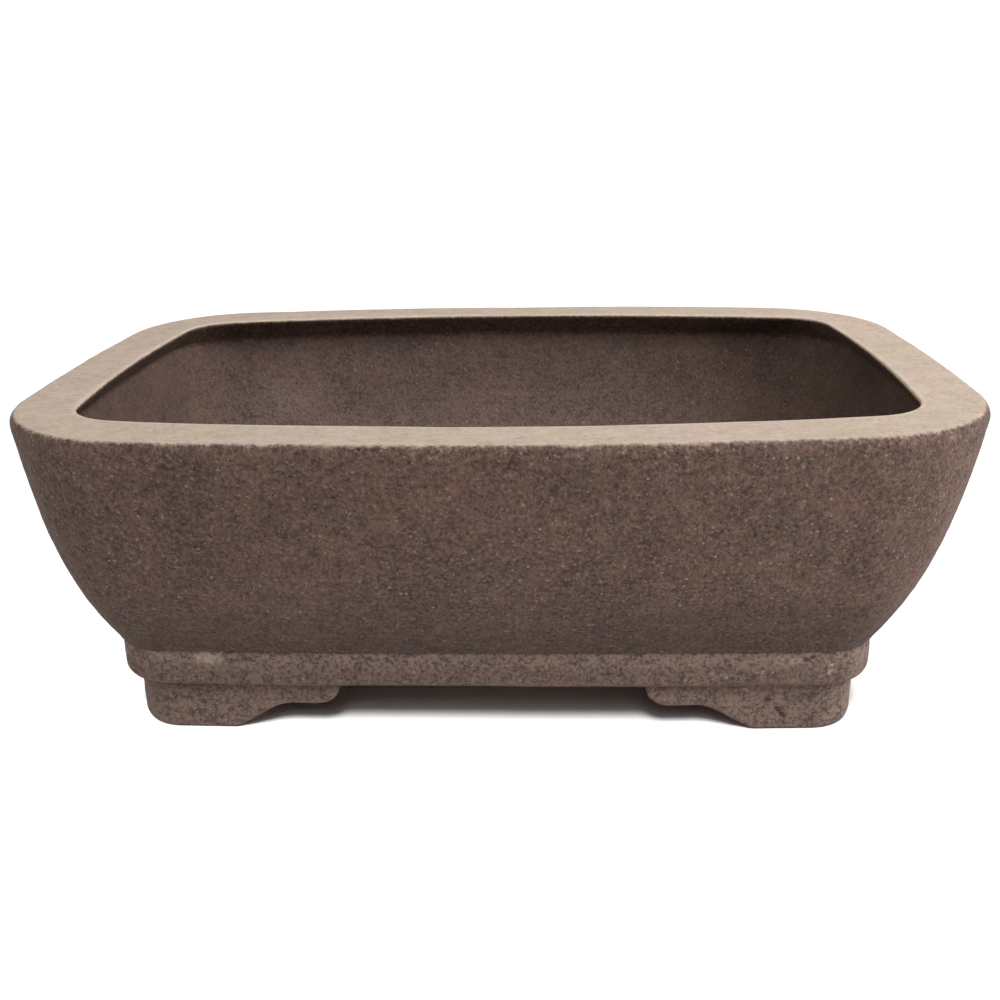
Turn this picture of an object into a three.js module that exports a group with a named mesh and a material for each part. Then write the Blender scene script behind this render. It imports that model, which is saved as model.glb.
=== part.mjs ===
// Rectangular unglazed bonsai pot on four cloud feet, in the pieces of clay that a potter lutes
// together: a floor slab, four wall slabs, a moulding in four strips, a rim in four strips and
// four bracket feet. Millimetres, +Z up, +X along the length, -Y at the front, and the origin on
// the ground under the middle of the pot.
import * as THREE from "three";

// Overall size.
const LENGTH = 260; // over the rim, along X
const DEPTH = 182; // over the rim, along Y
const HEIGHT = 94;

// Heights of the courses, from the ground up. The walls fill what is left.
const FOOT_HEIGHT = 15;
const BAND_HEIGHT = 11.5;
const RIM_HEIGHT = 8;

// Plan: a rectangle whose sides bow outwards and whose corners are arcs.
const BOW_FRONT = 10; // how far the front and back bow out at the rim
const BOW_SIDE = 3.5; // the same for the two ends
const BASE_BOW = 0.2; // share of both that is left at the base
const RIM_CORNER = 44; // corner radius at the rim
const BASE_CORNER = 16; // corner radius at the base
const INNER_CORNER = 0.035; // share of it lost per millimetre further into the clay
const BASE_SHIFT = -1.5; // the base stands this much off the middle of the rim, along X

// Walls: they lean out from the base, and curl in more steeply near it.
const LEAN = 11; // inset that grows evenly from rim to base
const CURL = 9.4; // inset that gathers near the base
const CURL_POWER = 3;
const WALL_THICKNESS = 11;
const COVE = 8; // fillet between the walls and the floor inside
const COVE_BEND = { inset: 0.35, height: 0.25 }; // where it turns, as shares of its size

// Rim: flat on top, round outside, with a lip that overhangs the inside.
const RIM_WIDTH = 18;
const RIM_EDGE = { out: 2.2, high: 3.4 }; // ellipse of the outer edge
const LIP_EDGE = 0.8; // radius of the inner edge
const LIP_FACE = 1; // upright face under the inner edge

// Moulding round the base: upright, with its bottom edge rounded more than its top one.
const BAND_INSET = 20.4; // of its outermost line
const BAND_THICKNESS = 7;
const BAND_TOP = { out: 1.5, high: 2.6 }; // ellipse of the top edge
const BAND_UNDER = { out: 2.8, high: 3.4 }; // ellipse of the bottom edge

// Floor slab: drain holes on the long axis, and small holes for the wires that tie a tree down.
const DRAIN = { radius: 10, x: 48 };
const WIRE = { radius: 3, x: 78, y: 34 };

// Feet: brackets round the corners. Each has a pad that stands and a thinner wing on either side.
const FOOT_INSET = 24;
const FOOT_THICKNESS = 12;
const FOOT_EDGE = 2.8; // radius of the bottom edge outside
const EDGE_SHARE = 0.45; // of the clay's height, which is all the radius a thin wing has room for
const WING_HEIGHT = 7.2; // underside of the wing above the ground
const WING_TIP = 0.8; // clay left at the very tip
// Where the pad, the slope, the wing and the tip end, from the middle of the corner.
const FRONT_ARM = { pad: 25.5, slope: 43, wing: 51, tip: 57.5 };
const SIDE_ARM = { pad: 17, slope: 29, wing: 35.5, tip: 40 };

// Facets.
const FRONT_STEPS = 5; // from the middle of the front to a corner
const CORNER_STEPS = 8;
const SIDE_STEPS = 3; // from a corner to the middle of an end
const ARC_DIVISIONS = 2; // a rounded edge gets twice as many facets
const WALL_STEPS = 7;
const COVE_STEPS = 3;
const HOLE_FACETS = 20;
const PAD_STEPS = 4;
const SLOPE_STEPS = 5;
const TIP_SHARES = [0, 0.4, 0.7, 0.9, 1]; // closer together where the tip turns up

const SEAT = FOOT_HEIGHT + BAND_HEIGHT; // the walls stand here, level with the top of the floor
const WALL_TOP = HEIGHT - RIM_HEIGHT;
const WIDEST = HEIGHT - RIM_EDGE.high;
const QUARTER = FRONT_STEPS + CORNER_STEPS + SIDE_STEPS;
const AROUND = 4 * QUARTER;
const MITRE = FRONT_STEPS + CORNER_STEPS / 2; // column in the middle of the front right corner

const { lerp, clamp, smoothstep } = THREE.MathUtils;

// 0 at the rim's widest line, and 1 from the top of the base down.
function descent(z) {
  return clamp((WIDEST - z) / (WIDEST - SEAT), 0, 1);
}

// Inset of the walls' outside from the rim's outline.
function wallInset(z) {
  const t = descent(z);
  return LEAN * t + CURL * t ** CURL_POWER;
}

// The three arcs of the front right quarter of the plan, each tangent to the next: from the middle
// of the front, round the corner, to the middle of the end.
function quarterPlan(inset, z) {
  const t = descent(z);
  const bow = lerp(1, BASE_BOW, t);
  const bowFront = BOW_FRONT * bow;
  const bowSide = BOW_SIDE * bow;
  const halfLength = LENGTH / 2 - BOW_SIDE - inset;
  const halfDepth = DEPTH / 2 - BOW_FRONT - inset;
  const frontRadius = (halfLength ** 2 + bowFront ** 2) / (2 * bowFront);
  const sideRadius = (halfDepth ** 2 + bowSide ** 2) / (2 * bowSide);
  const front = new THREE.Vector2(0, frontRadius - halfDepth - bowFront);
  const side = new THREE.Vector2(halfLength + bowSide - sideRadius, 0);
  const skin = z > SEAT ? wallInset(z) : BAND_INSET;
  const taper = 1 - INNER_CORNER * Math.max(0, inset - skin);
  const radius = lerp(RIM_CORNER, BASE_CORNER, t) * taper;
  // The corner's centre is where two circles cross: one about each of the other centres, smaller
  // than its arc by the corner's radius.
  const apart = side.clone().sub(front);
  const reach = frontRadius - radius;
  const along = (apart.lengthSq() + reach ** 2 - (sideRadius - radius) ** 2) / (2 * apart.length());
  const across = Math.sqrt(reach ** 2 - along ** 2);
  const towards = apart.normalize();
  const outwards = new THREE.Vector2(-towards.y, towards.x);
  const corner = front.clone().addScaledVector(towards, along).addScaledVector(outwards, across);
  const start = Math.atan2(corner.y - front.y, corner.x - front.x);
  const end = Math.atan2(corner.y - side.y, corner.x - side.x);
  return [
    new THREE.EllipseCurve(front.x, front.y, frontRadius, frontRadius, -Math.PI / 2, start),
    new THREE.EllipseCurve(corner.x, corner.y, radius, radius, start, end),
    new THREE.EllipseCurve(side.x, side.y, sideRadius, sideRadius, end, 0),
  ];
}

// A point of the front right quarter, at one of its columns.
function quarterPoint(inset, z, column) {
  const [front, corner, side] = quarterPlan(inset, z);
  if (column <= FRONT_STEPS) return front.getPoint(column / FRONT_STEPS);
  const past = column - FRONT_STEPS;
  if (past <= CORNER_STEPS) return corner.getPoint(past / CORNER_STEPS);
  return side.getPoint((past - CORNER_STEPS) / SIDE_STEPS);
}

// A point of the whole plan. Columns run counterclockwise from the middle of the front.
function planPoint(inset, z, column) {
  const turn = (column + AROUND) % AROUND;
  const quarter = Math.floor(turn / QUARTER);
  const within = turn % QUARTER;
  const { x, y } = quarterPoint(inset, z, quarter % 2 === 0 ? within : QUARTER - within);
  const signX = quarter < 2 ? 1 : -1;
  const signY = quarter === 0 || quarter === 3 ? 1 : -1;
  return new THREE.Vector3(signX * x + BASE_SHIFT * descent(z), signY * y, z);
}

// A closed solid through sections with equal counts of points. Each has an outline, clockwise, and
// a function that places a point of it.
function loft(sections) {
  const size = sections[0].outline.length;
  const last = (sections.length - 1) * size;
  const index = [];
  for (let base = 0; base < last; base += size) {
    for (let i = 0; i < size; i += 1) {
      const a = base + i;
      const b = base + ((i + 1) % size);
      index.push(a, a + size, b, b, a + size, b + size);
    }
  }
  for (const [a, b, c] of THREE.ShapeUtils.triangulateShape(sections[0].outline, [])) {
    index.push(a, c, b);
  }
  for (const [a, b, c] of THREE.ShapeUtils.triangulateShape(sections.at(-1).outline, [])) {
    index.push(last + a, last + b, last + c);
  }
  const points = sections.flatMap(({ outline, place }) => outline.map(place));
  const geometry = new THREE.BufferGeometry().setFromPoints(points);
  geometry.setIndex(index);
  geometry.computeVertexNormals();
  return geometry;
}

// One strip of a course: a section in inset and height, carried from one mitre to the next.
function strip(outline, firstColumn, lastColumn) {
  const sections = [];
  for (let column = firstColumn; column <= lastColumn; column += 1) {
    sections.push({ outline, place: (v) => planPoint(v.x, v.y, column) });
  }
  return loft(sections);
}

// A path's points, without neighbours that coincide.
function outlineOf(path) {
  const points = path.getPoints(ARC_DIVISIONS);
  return points.filter((p, i) => p.distanceTo(points[(i + 1) % points.length]) > 1e-6);
}

// Section of the walls: outside from the seat up, then down the inside and along the cove.
function wallSection() {
  const outside = [];
  const inside = [];
  for (let i = 0; i <= WALL_STEPS; i += 1) {
    const z = lerp(SEAT, WALL_TOP, i / WALL_STEPS);
    outside.push(new THREE.Vector2(wallInset(z), z));
    const inner = lerp(WALL_TOP, SEAT + COVE, i / WALL_STEPS);
    inside.push(new THREE.Vector2(wallInset(inner) + WALL_THICKNESS, inner));
  }
  const start = inside.at(-1);
  const bend = new THREE.Vector2(start.x + COVE * COVE_BEND.inset, SEAT + COVE * COVE_BEND.height);
  const end = new THREE.Vector2(wallInset(SEAT) + WALL_THICKNESS + COVE, SEAT);
  const cove = new THREE.QuadraticBezierCurve(start, bend, end).getPoints(COVE_STEPS);
  return [...outside, ...inside, ...cove.slice(1)];
}

// Section of the rim: up the outside, over the round edge, across the top, and down and under the lip.
function rimSection() {
  const lipTop = HEIGHT - LIP_EDGE;
  const path = new THREE.Path();
  path.moveTo(wallInset(WALL_TOP), WALL_TOP);
  path.lineTo(0, WIDEST);
  path.absellipse(RIM_EDGE.out, WIDEST, RIM_EDGE.out, RIM_EDGE.high, Math.PI, Math.PI / 2, true);
  path.absarc(RIM_WIDTH - LIP_EDGE, lipTop, LIP_EDGE, Math.PI / 2, 0, true);
  path.lineTo(RIM_WIDTH, lipTop - LIP_FACE);
  path.lineTo(wallInset(WALL_TOP) + WALL_THICKNESS, WALL_TOP);
  return outlineOf(path);
}

// Section of the moulding: along the bottom, up the outside, and across to its flat back.
function bandSection() {
  const under = BAND_UNDER;
  const top = BAND_TOP;
  const back = BAND_INSET + BAND_THICKNESS;
  const low = FOOT_HEIGHT + under.high;
  const path = new THREE.Path();
  path.moveTo(back, FOOT_HEIGHT);
  path.lineTo(BAND_INSET + under.out, FOOT_HEIGHT);
  path.absellipse(BAND_INSET + under.out, low, under.out, under.high, -Math.PI / 2, -Math.PI, true);
  path.lineTo(BAND_INSET, SEAT - top.high);
  path.absellipse(BAND_INSET + top.out, SEAT - top.high, top.out, top.high, Math.PI, Math.PI / 2, true);
  path.lineTo(back, SEAT);
  return outlineOf(path);
}

// Floor slab: it fills the moulding, and the walls stand on its edge.
function floorSlab() {
  const slab = new THREE.Shape();
  for (let column = 0; column < AROUND; column += 1) {
    const { x, y } = planPoint(BAND_INSET + BAND_THICKNESS, SEAT, column);
    if (column === 0) slab.moveTo(x, y);
    else slab.lineTo(x, y);
  }
  for (const signX of [-1, 1]) {
    slab.holes.push(roundHole(BASE_SHIFT + signX * DRAIN.x, 0, DRAIN.radius));
    for (const signY of [-1, 1]) {
      slab.holes.push(roundHole(BASE_SHIFT + signX * WIRE.x, signY * WIRE.y, WIRE.radius));
    }
  }
  const geometry = new THREE.ExtrudeGeometry(slab, { depth: BAND_HEIGHT, bevelEnabled: false });
  return geometry.translate(0, 0, FOOT_HEIGHT);
}

function roundHole(x, y, radius) {
  const circle = new THREE.EllipseCurve(x, y, radius, radius);
  return new THREE.Path(circle.getPoints(HOLE_FACETS).slice(1));
}

// Height of a foot's underside, at a distance along an arm from the middle of the corner.
function underside(distance, arm) {
  const slope = WING_HEIGHT * smoothstep(distance, arm.pad, arm.slope);
  const pastWing = Math.max(0, (distance - arm.wing) / (arm.tip - arm.wing));
  const tipRise = FOOT_HEIGHT - WING_TIP - WING_HEIGHT;
  return slope + tipRise * (1 - Math.sqrt(1 - pastWing ** 2));
}

// Section across a foot: up the inside, across the top, down the outside and round its bottom edge.
function footSection(low) {
  const edge = Math.min(FOOT_EDGE, EDGE_SHARE * (FOOT_HEIGHT - low));
  const path = new THREE.Path();
  path.moveTo(FOOT_THICKNESS, FOOT_HEIGHT);
  path.lineTo(FOOT_THICKNESS, low);
  path.lineTo(edge, low);
  path.absarc(edge, low + edge, edge, 1.5 * Math.PI, Math.PI, true);
  path.lineTo(0, FOOT_HEIGHT);
  return outlineOf(path);
}

// Distances of an arm's sections from the middle of the corner.
function armStations({ pad, slope, wing, tip }) {
  const onPad = Array.from({ length: PAD_STEPS }, (_, i) => (pad * i) / PAD_STEPS);
  const onSlope = Array.from({ length: SLOPE_STEPS + 1 }, (_, i) => lerp(pad, slope, i / SLOPE_STEPS));
  return [...onPad, ...onSlope, ...TIP_SHARES.map((share) => lerp(wing, tip, share))];
}

// A bracket foot round the front right corner, mirrored to the corner that the signs give.
function foot(signX, signY) {
  const arcs = quarterPlan(FOOT_INSET, FOOT_HEIGHT);
  const outer = new THREE.CurvePath();
  arcs.forEach((arc) => outer.add(arc));
  const middle = arcs[0].getLength() + arcs[1].getLength() / 2;
  const alongFront = armStations(FRONT_ARM).slice(1).map((distance) => -distance);
  const sections = [...alongFront.reverse(), ...armStations(SIDE_ARM)].map((distance) => {
    const at = outer.getPointAt((middle + distance) / outer.getLength());
    const tangent = outer.getTangentAt((middle + distance) / outer.getLength());
    const place = (v) => new THREE.Vector3(
      BASE_SHIFT + signX * (at.x - tangent.y * v.x),
      -signY * (at.y + tangent.x * v.x),
      v.y,
    );
    const low = underside(Math.abs(distance), distance < 0 ? FRONT_ARM : SIDE_ARM);
    return { outline: footSection(low), place };
  });
  // One mirror alone turns the faces inside out, so the sections then run the other way.
  if (signX === signY) sections.reverse();
  return loft(sections);
}

const clay = new THREE.MeshStandardMaterial({ color: 0x6b564c, roughness: 0.95, metalness: 0 });
const rimClay = new THREE.MeshStandardMaterial({ color: 0xb9a591, roughness: 0.8, metalness: 0 });

const pot = new THREE.Group();

function add(name, geometry, material) {
  const mesh = new THREE.Mesh(geometry, material);
  mesh.name = name;
  pot.add(mesh);
}

add("floor_slab", floorSlab(), clay);

// The courses in four strips each, from mitre to mitre, counterclockwise from the front.
const mitres = [-MITRE, MITRE, 2 * QUARTER - MITRE, 2 * QUARTER + MITRE, AROUND - MITRE];
["front", "right", "back", "left"].forEach((side, i) => {
  add(`base_moulding_${side}`, strip(bandSection(), mitres[i], mitres[i + 1]), clay);
  add(`wall_${side}`, strip(wallSection(), mitres[i], mitres[i + 1]), clay);
  add(`rim_${side}`, strip(rimSection(), mitres[i], mitres[i + 1]), rimClay);
});

for (const [face, signY] of [["front", -1], ["back", 1]]) {
  for (const [end, signX] of [["left", -1], ["right", 1]]) {
    add(`foot_${face}_${end}`, foot(signX, signY), clay);
  }
}

export default pot;
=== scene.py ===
"""Looks of a rectangular unglazed bonsai pot on four cloud feet.

The pot is one body of fired clay, so its courses are made here as whole rings whose surface runs on from
piece to piece, and are then cut at the mitres into the pieces that replace the CAD nodes. Metres, in the
CAD's frame: +X along the length, -Y at the front, +Z up, and the origin on the ground under the middle.
"""
import math

import bpy
import numpy as np
from mathutils import Matrix, Vector
from mathutils.geometry import delaunay_2d_cdt


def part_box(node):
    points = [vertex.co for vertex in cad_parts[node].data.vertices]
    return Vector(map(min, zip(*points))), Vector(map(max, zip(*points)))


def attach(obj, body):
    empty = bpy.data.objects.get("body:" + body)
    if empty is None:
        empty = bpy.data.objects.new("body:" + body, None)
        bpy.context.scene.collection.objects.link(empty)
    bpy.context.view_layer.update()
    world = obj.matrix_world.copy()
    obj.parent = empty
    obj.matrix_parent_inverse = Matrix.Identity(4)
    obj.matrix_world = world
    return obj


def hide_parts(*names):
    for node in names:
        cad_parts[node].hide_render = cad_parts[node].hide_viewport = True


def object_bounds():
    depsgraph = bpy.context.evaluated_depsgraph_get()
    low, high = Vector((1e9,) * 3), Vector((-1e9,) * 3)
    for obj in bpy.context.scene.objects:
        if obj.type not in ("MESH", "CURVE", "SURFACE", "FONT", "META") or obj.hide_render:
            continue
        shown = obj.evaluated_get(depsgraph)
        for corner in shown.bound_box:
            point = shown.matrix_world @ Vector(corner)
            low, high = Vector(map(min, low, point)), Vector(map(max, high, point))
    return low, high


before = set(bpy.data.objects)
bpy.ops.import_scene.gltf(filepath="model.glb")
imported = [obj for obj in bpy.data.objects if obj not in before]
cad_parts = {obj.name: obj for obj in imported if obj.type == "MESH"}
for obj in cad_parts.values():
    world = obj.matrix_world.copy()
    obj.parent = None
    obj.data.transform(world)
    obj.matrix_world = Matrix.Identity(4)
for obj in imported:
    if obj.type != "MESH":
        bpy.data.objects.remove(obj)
cad_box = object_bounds()

MM = 0.001

# Sizes that the CAD nodes give.
LENGTH = cad_box[1].x - cad_box[0].x
DEPTH = cad_box[1].y - cad_box[0].y
HEIGHT = cad_box[1].z
FOOT_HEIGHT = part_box("foot_front_left")[1].z
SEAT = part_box("wall_front")[0].z  # the walls stand here, level with the top of the floor
WALL_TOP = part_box("rim_front")[0].z
BASE_SHIFT = (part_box("floor_slab")[0].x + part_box("floor_slab")[1].x) / 2

# Plan: a rectangle whose sides bow outwards and whose corners are arcs.
BOW_FRONT = 10 * MM
BOW_SIDE = 3.5 * MM
BASE_BOW = 0.2  # share of both that is left at the base
RIM_CORNER = 44 * MM
BASE_CORNER = 16 * MM
INNER_CORNER = 0.035 / MM  # share of a corner's radius lost per metre further into the clay

# Walls.
LEAN = 11 * MM
CURL = 9.4 * MM
CURL_POWER = 3
WALL_THICKNESS = 11 * MM
COVE = 8 * MM
COVE_STEEP = (0.13, 0.45)  # how it leaves the wall, in inset and in height, as shares of its size
COVE_LEVEL = 0.55  # how it runs out on the floor
WALL_FOOT = 0.3 * MM  # radius of the walls' bottom edge, over the groove

# Rim.
RIM_WIDTH = 18 * MM
RIM_EDGE = (2.2 * MM, 3.4 * MM)  # ellipse of the outer edge: inwards, and high
LIP_EDGE = 0.8 * MM
LIP_FACE = 1 * MM
WIDEST = HEIGHT - RIM_EDGE[1]
SLIP_AND_TOP_LIGHT_FADE = (0.25 * MM, 2.7 * MM)  # the pale slip on top, which also paints the light that the top catches from above, runs out between these insets, on the outer edge, where that edge turns down
LIP_SLIP_AND_LIGHT_POINTS = (-1.5, 0.5)  # and between these profile points, counted back from the lip's end
SMOOTHING_SLIP = (0.3, 0.8)  # slip starts to fill the hollows at the first cover, and has at the second

# Moulding round the base.
BAND_INSET = 20.4 * MM
BAND_THICKNESS = 7 * MM
BAND_TOP = (1.5 * MM, 2.6 * MM)
BAND_UNDER = (2.8 * MM, 3.4 * MM)

# Floor slab.
DRAIN_RADIUS, DRAIN_X = 10 * MM, 48 * MM
WIRE_RADIUS, WIRE_X, WIRE_Y = 3 * MM, 78 * MM, 34 * MM
HOLE_EDGE = 0.8 * MM  # how far a hole's edges are worn back

# Feet.
FOOT_INSET = 24 * MM
FOOT_THICKNESS = 12 * MM
FOOT_EDGE = 2.8 * MM
FOOT_BACK_EDGE = 1.5 * MM
FOOT_JOINT = 0.9 * MM  # radius of its top edge, where it was luted to the moulding
EDGE_SHARE = 0.45  # an edge's radius is at most this share of the height that is left beside it
FOOT_TOP_KEPT = 1.5 * MM  # the hollows come in over this height below its top
PAD_SHARE = 0.35  # share of the hollows that is left on the pad
PAD_FADE = 2 * MM
WING_HEIGHT = 7.2 * MM
WING_TIP = 0.8 * MM
FRONT_ARM = {"pad": 25.5 * MM, "slope": 43 * MM, "wing": 51 * MM, "tip": 57.5 * MM}
SIDE_ARM = {"pad": 17 * MM, "slope": 29 * MM, "wing": 35.5 * MM, "tip": 40 * MM}

# Pale dust that lies in the clay's grain, as a share of full cover, with a painted highlight along the
# moulding's top edge.
INSIDE_DUST = 0.20
FLOOR_DUST = 0.40  # more towards the floor inside
DUST_DEPTHS = (10 * MM, 50 * MM)  # it comes in between these depths below the walls' top
DUST_CLEARED = 0.6  # share of both that is gone at the right end inside
DUST_CLEARED_X = (20 * MM, 100 * MM)
BASE_DUST = 0.18  # on the moulding and the feet
FOOT_DUST = 0.14  # more on the feet
FOOT_DUST_FADE = 4 * MM
EDGE_DUST_AND_HIGHLIGHT = 0.32  # more along the moulding's top edge: dust, and a painted highlight where the edge faces up
EDGE_HIGHLIGHT_BELOW = (7 * MM, 2 * MM)  # it comes in between these depths below the edge

# Pale bloom inside the back wall.
BLOOM_X = -82 * MM
BLOOM_Z = 65 * MM
BLOOM_RADIUS = 14 * MM
BLOOM_FLATNESS = 1.8
BLOOM_DUST = 0.35

# Darker colour, as a share of full dark: painted shade low on the outside, under the lip and at the right end
# inside, and dark joints with the feet.
WALL_FOOT_PAINTED_SHADE = 0.38  # painted shade outside, deepening towards the moulding as the wall curls in to face down
WALL_FOOT_SHADE_REACH = 28 * MM
LIP_PAINTED_SHADE = 0.15  # painted shade under the lip
LIP_SHADE_BELOW = (5.5 * MM, 3 * MM)  # it comes in between these depths below the rim's top
INSIDE_PAINTED_SHADE = 0.22  # painted shade at the right end inside, whose inner wall faces away from the key light
INSIDE_SHADE_X = (55 * MM, 110 * MM)
JOINT_DARK = 0.55  # where the feet meet the moulding
JOINT_REACH_UP = 1.6 * MM
JOINT_REACH_DOWN = 3.6 * MM
JOINT_PATCH = 5 * MM
JOINT_PATCH_SHARE = 0.25
JOINT_SEED = 21

LIP_PAINTED_HIGHLIGHT = 0.15  # painted highlight along the rim's inner edge, carried as slip above full cover
PAINTED_HIGHLIGHT_INSET = (2.2 * MM, 0.8 * MM)  # it comes in between these distances from that edge
MARK_DEPTH = 0.5 * MM

# Spacing of the mesh.
FINE = 0.62 * MM
RIM_FINE = 0.85 * FINE
BAND_FINE = 0.8 * FINE
COARSE = 1.0 * MM
FLOOR_SPACING = 1.3 * MM
HOLE_SPACING = 0.6 * MM
FOOT_SPACING = 0.42 * MM
SETTLE_POINTS = 4  # the hollows come in over this many points from a profile's end
SHARP_ANGLE = math.radians(50)

SIDES = ("front", "right", "back", "left")


# ---------------------------------------------------------------- plan

def descent(z):
    """0 at the rim's widest line, and 1 from the top of the base down."""
    return np.clip((WIDEST - z) / (WIDEST - SEAT), 0, 1)


def wall_inset(z):
    """Inset of the walls' outside from the rim's outline."""
    t = descent(z)
    return LEAN * t + CURL * t ** CURL_POWER


def quarter_arcs(inset, z):
    """The front right quarter of the plan at each inset and height: three tangent arcs, from the middle of
    the front, round the corner, to the middle of the end. Gives their centres' x and y, their radii, and
    their first and last angles.
    """
    t = descent(z)
    bow = 1 + (BASE_BOW - 1) * t
    bow_front, bow_side = BOW_FRONT * bow, BOW_SIDE * bow
    half_length = LENGTH / 2 - BOW_SIDE - inset
    half_depth = DEPTH / 2 - BOW_FRONT - inset
    front_radius = (half_length ** 2 + bow_front ** 2) / (2 * bow_front)
    side_radius = (half_depth ** 2 + bow_side ** 2) / (2 * bow_side)
    front_y = front_radius - half_depth - bow_front
    side_x = half_length + bow_side - side_radius
    skin = np.where(z > SEAT, wall_inset(z), BAND_INSET)
    taper = 1 - INNER_CORNER * np.maximum(0, inset - skin)
    radius = (RIM_CORNER + (BASE_CORNER - RIM_CORNER) * t) * taper
    # The corner's centre is where two circles cross: one about each of the other centres, smaller than its
    # arc by the corner's radius.
    apart = np.hypot(side_x, front_y)
    reach = front_radius - radius
    along = (apart ** 2 + reach ** 2 - (side_radius - radius) ** 2) / (2 * apart)
    across = np.sqrt(reach ** 2 - along ** 2)
    toward_x, toward_y = side_x / apart, -front_y / apart
    corner_x = toward_x * along - toward_y * across
    corner_y = front_y + toward_y * along + toward_x * across
    start = np.arctan2(corner_y - front_y, corner_x)
    end = np.arctan2(corner_y, corner_x - side_x)
    zero = np.zeros_like(start)
    return (
        np.stack([zero, corner_x, side_x]),
        np.stack([front_y, corner_y, zero]),
        np.stack([front_radius, radius, side_radius]),
        np.stack([zero - math.pi / 2, start, end]),
        np.stack([start, end, zero]),
    )


def quarter_columns(spacing):
    """Columns of a quarter as arc and fraction along it, with one in the middle of the corner: the mitre."""
    _, _, radius, first, last = quarter_arcs(np.zeros(1), np.array([WIDEST]))
    lengths = (radius * (last - first))[:, 0]
    steps = [max(2, 2 * round(length / spacing / 2)) for length in lengths]
    columns = [(arc, i / steps[arc]) for arc in range(3) for i in range(steps[arc])]
    return columns, steps[0] + steps[1] // 2


def plan_ring(inset, z, spacing):
    """Points of a profile carried all the way round, counterclockwise from the middle of the front, as an
    array of columns by profile points. Also the columns of the mitres, the first one again at the end.
    """
    columns, mitre = quarter_columns(spacing)
    count = len(columns)
    arcs = [arc for arc, _ in columns] + [2]
    fractions = np.array([fraction for _, fraction in columns] + [1.0])[:, None]
    centre_x, centre_y, radius, first, last = (part[arcs] for part in quarter_arcs(inset, z))
    angle = first + (last - first) * fractions
    x = centre_x + radius * np.cos(angle)
    y = centre_y + radius * np.sin(angle)
    x[0] = 0
    y[-1] = 0
    ring_x = np.concatenate([x[:-1], x[:0:-1], -x[:-1], -x[:0:-1]])
    ring_y = np.concatenate([y[:-1], -y[:0:-1], -y[:-1], y[:0:-1]])
    ring_z = np.broadcast_to(z, ring_x.shape)
    mitres = [-mitre, mitre, 2 * count - mitre, 2 * count + mitre, 4 * count - mitre]
    return np.stack([ring_x + BASE_SHIFT * descent(ring_z), ring_y, ring_z], axis=-1), mitres


# ---------------------------------------------------------------- uneven clay

def value_noise(points, wavelength, seed):
    """Smooth noise from -1 to 1 over space, from a seeded lattice."""
    low = points.reshape(-1, 3).min(0) - wavelength
    cells = (points - low) / wavelength
    size = np.ceil(cells.reshape(-1, 3).max(0)).astype(int) + 2
    lattice = np.random.default_rng(seed).uniform(-1, 1, size)
    corner = np.floor(cells).astype(int)
    share = cells - corner
    share = share * share * (3 - 2 * share)
    total = 0
    for step in np.ndindex(2, 2, 2):
        weight = np.prod(np.where(step, share, 1 - share), axis=-1)
        at = corner + step
        total = total + weight * lattice[at[..., 0], at[..., 1], at[..., 2]]
    return total


def smoothstep(value, low, high):
    t = np.clip((value - low) / (high - low), 0, 1)
    return t * t * (3 - 2 * t)


# Hollows that the hand and the tools leave: wavelength and depth, and how much of it smooth slip keeps.
UNEVENNESS = (
    (46 * MM, 0.42 * MM, 1.0),
    (17 * MM, 0.16 * MM, 0.8),
    (6 * MM, 0.10 * MM, 0.5),
    (2.6 * MM, 0.09 * MM, 0.25),
    (1.3 * MM, 0.07 * MM, 0.15),
)


def hollows(points, slip):
    """How deep the skin lies under its ideal surface, always inwards, so that the pot keeps its size."""
    depth = 0
    for seed, (wavelength, size, kept) in enumerate(UNEVENNESS):
        share = 1 + (kept - 1) * slip
        depth = depth + size * share * (1 + value_noise(points, wavelength, seed)) / 2
    return depth


# Small marks on the front of the base: kind, the two ends of the mark in X and Z and half its width, all in
# millimetres, and its strength. Pale ones are smears of slip, and dark ones are pits and scratches.
MARKS = (
    # On the moulding.
    ("pale", (-81.5, 24.6), (-77.0, 24.4), 1.5, 0.9),
    ("pale", (-96.0, 25.2), (-89.0, 24.4), 0.7, 0.5),
    ("dark", (-74.3, 24.0), (-67.4, 23.9), 0.35, 0.5),
    ("pale", (77.0, 24.0), (81.9, 24.0), 1.2, 0.4),
    ("dark", (85.6, 25.0), (85.8, 25.0), 0.6, 0.9),
    ("dark", (83.6, 24.2), (83.8, 24.2), 0.6, 0.8),
    ("dark", (94.7, 24.6), (94.9, 24.6), 0.6, 0.7),
    ("pale", (90.5, 20.3), (90.9, 20.5), 0.5, 1.0),
    ("pale", (90.9, 22.4), (91.1, 22.5), 0.45, 0.9),
    ("pale", (62.5, 19.1), (62.7, 19.1), 0.45, 1.0),
    ("pale", (61.7, 20.0), (61.9, 20.0), 0.4, 0.8),
    ("pale", (72.1, 20.6), (72.3, 20.6), 0.45, 0.9),
    # On the right foot: a spot, a pit and a scratch.
    ("pale", (68.7, 13.2), (68.9, 13.2), 0.45, 0.9),
    ("dark", (75.0, 10.0), (75.3, 9.9), 0.65, 1.0),
    ("dark", (77.3, 7.4), (79.9, 4.6), 0.42, 1.0),
)
MARK_EDGES = (0.5, 1.7)  # a mark is full to the first and gone at the second, as shares of half its width


def near_segment(points, start, end, half_width):
    """1 on a segment of the front, in X and Z, fading to 0 past its half width."""
    a, b = np.array(start) * MM, np.array(end) * MM
    flat = points[..., [0, 2]]
    share = np.clip(((flat - a) @ (b - a)) / max((b - a) @ (b - a), 1e-12), 0, 1)
    away = np.linalg.norm(flat - a - share[..., None] * (b - a), axis=-1)
    full, gone = (edge * half_width * MM for edge in MARK_EDGES)
    return smoothstep(-away, -gone, -full) * (points[..., 1] < 0)


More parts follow.
